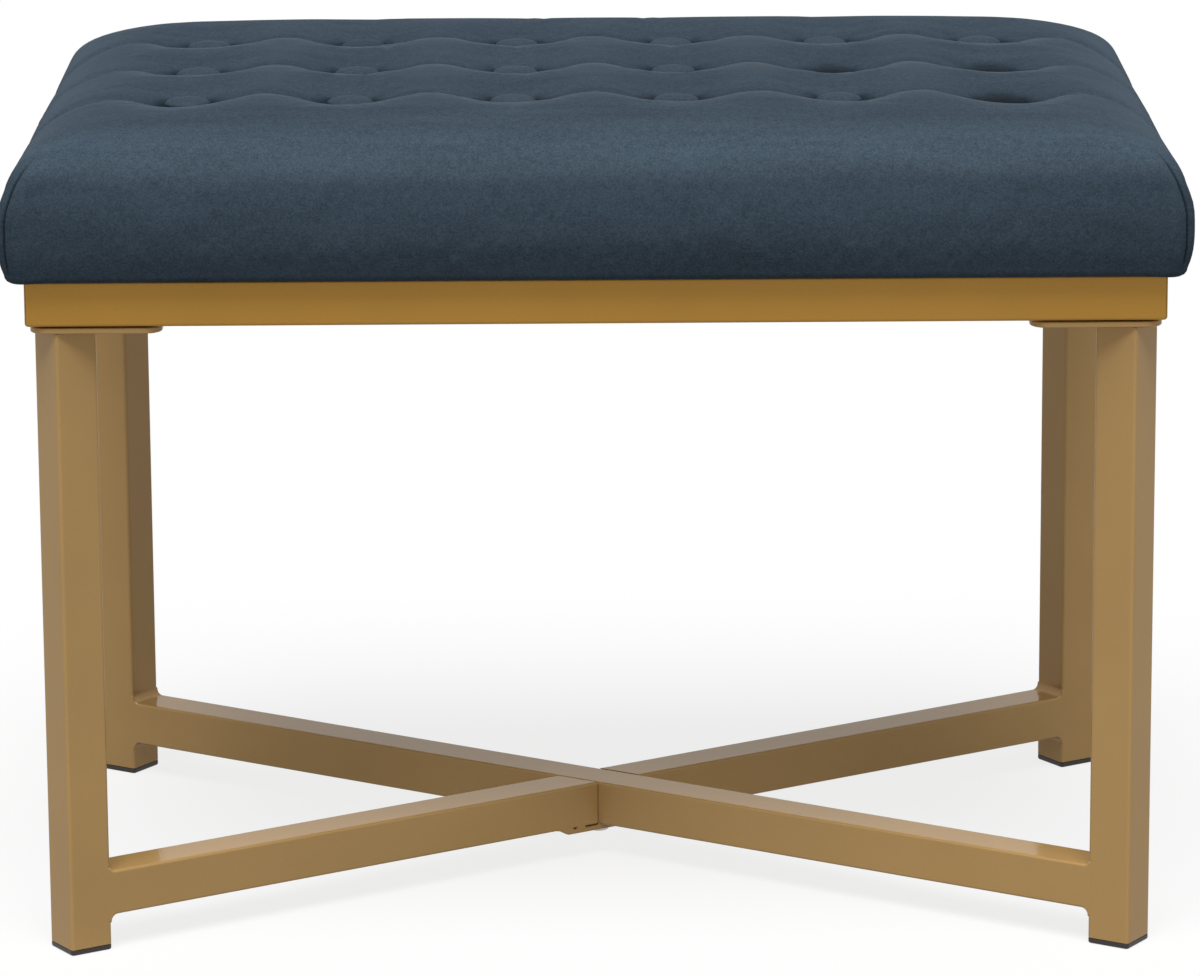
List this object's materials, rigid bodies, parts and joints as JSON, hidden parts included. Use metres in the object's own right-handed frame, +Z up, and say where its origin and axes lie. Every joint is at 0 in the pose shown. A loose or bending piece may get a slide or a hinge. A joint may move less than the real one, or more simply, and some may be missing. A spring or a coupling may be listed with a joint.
{
  "type": "ottoman bench",
  "caption": "Low bench with a button-tufted velvet seat on a square steel tube frame, turned legs and a low crossed stretcher.",
  "frame": {"origin": "on the floor, under the middle of the seat", "axes": "+X along the seat's length, +Y to its back, +Z up"},
  "size_m": [0.637, 0.433, 0.4629],
  "materials": {
    "velvet": "short-pile blue-grey velvet",
    "gold_paint": "satin gold metallic paint",
    "foam": "open-cell upholstery foam",
    "plywood": "raw plywood",
    "lining": "black non-woven lining",
    "plastic": "moulded dark brown",
    "zinc": "zinc plated"
  },
  "bodies": {
    "root": {"button_r1_c1": "velvet", "button_r1_c2": "velvet", "button_r1_c3": "velvet", "button_r1_c4": "velvet", "button_r1_c5": "velvet", "button_r1_c6": "velvet", "button_r2_c1": "velvet", "button_r2_c2": "velvet", "button_r2_c3": "velvet", "button_r2_c4": "velvet", "button_r2_c5": "velvet", "button_r2_c6": "velvet", "button_r3_c1": "velvet", "button_r3_c2": "velvet", "button_r3_c3": "velvet", "button_r3_c4": "velvet", "button_r3_c5": "velvet", "button_r3_c6": "velvet", "crossing_bolt": "zinc", "crossing_nut": "zinc", "dust_cover": "lining", "foam_pad": "foam", "foot_cap_back_left": "plastic", "foot_cap_back_right": "plastic", "foot_cap_front_left": "plastic", "foot_cap_front_right": "plastic", "frame_tube_back": "gold_paint", "frame_tube_front": "gold_paint", "frame_tube_left": "gold_paint", "frame_tube_right": "gold_paint", "joining_plate": "gold_paint", "leg_back_left": "gold_paint", "leg_back_right": "gold_paint", "leg_front_left": "gold_paint", "leg_front_right": "gold_paint", "leg_plate_back_left": "gold_paint", "leg_plate_back_right": "gold_paint", "leg_plate_front_left": "gold_paint", "leg_plate_front_right": "gold_paint", "leg_screw_back_left_a": "zinc", "leg_screw_back_left_b": "zinc", "leg_screw_back_right_a": "zinc", "leg_screw_back_right_b": "zinc", "leg_screw_front_left_a": "zinc", "leg_screw_front_left_b": "zinc", "leg_screw_front_right_a": "zinc", "leg_screw_front_right_b": "zinc", "seat_board": "plywood", "seat_screw_back": "zinc", "seat_screw_front": "zinc", "seat_screw_left": "zinc", "seat_screw_right": "zinc", "stretcher_half_back": "gold_paint", "stretcher_half_front": "gold_paint", "stretcher_through": "gold_paint", "velvet_cover": "velvet"}
  },
  "joints": []
}
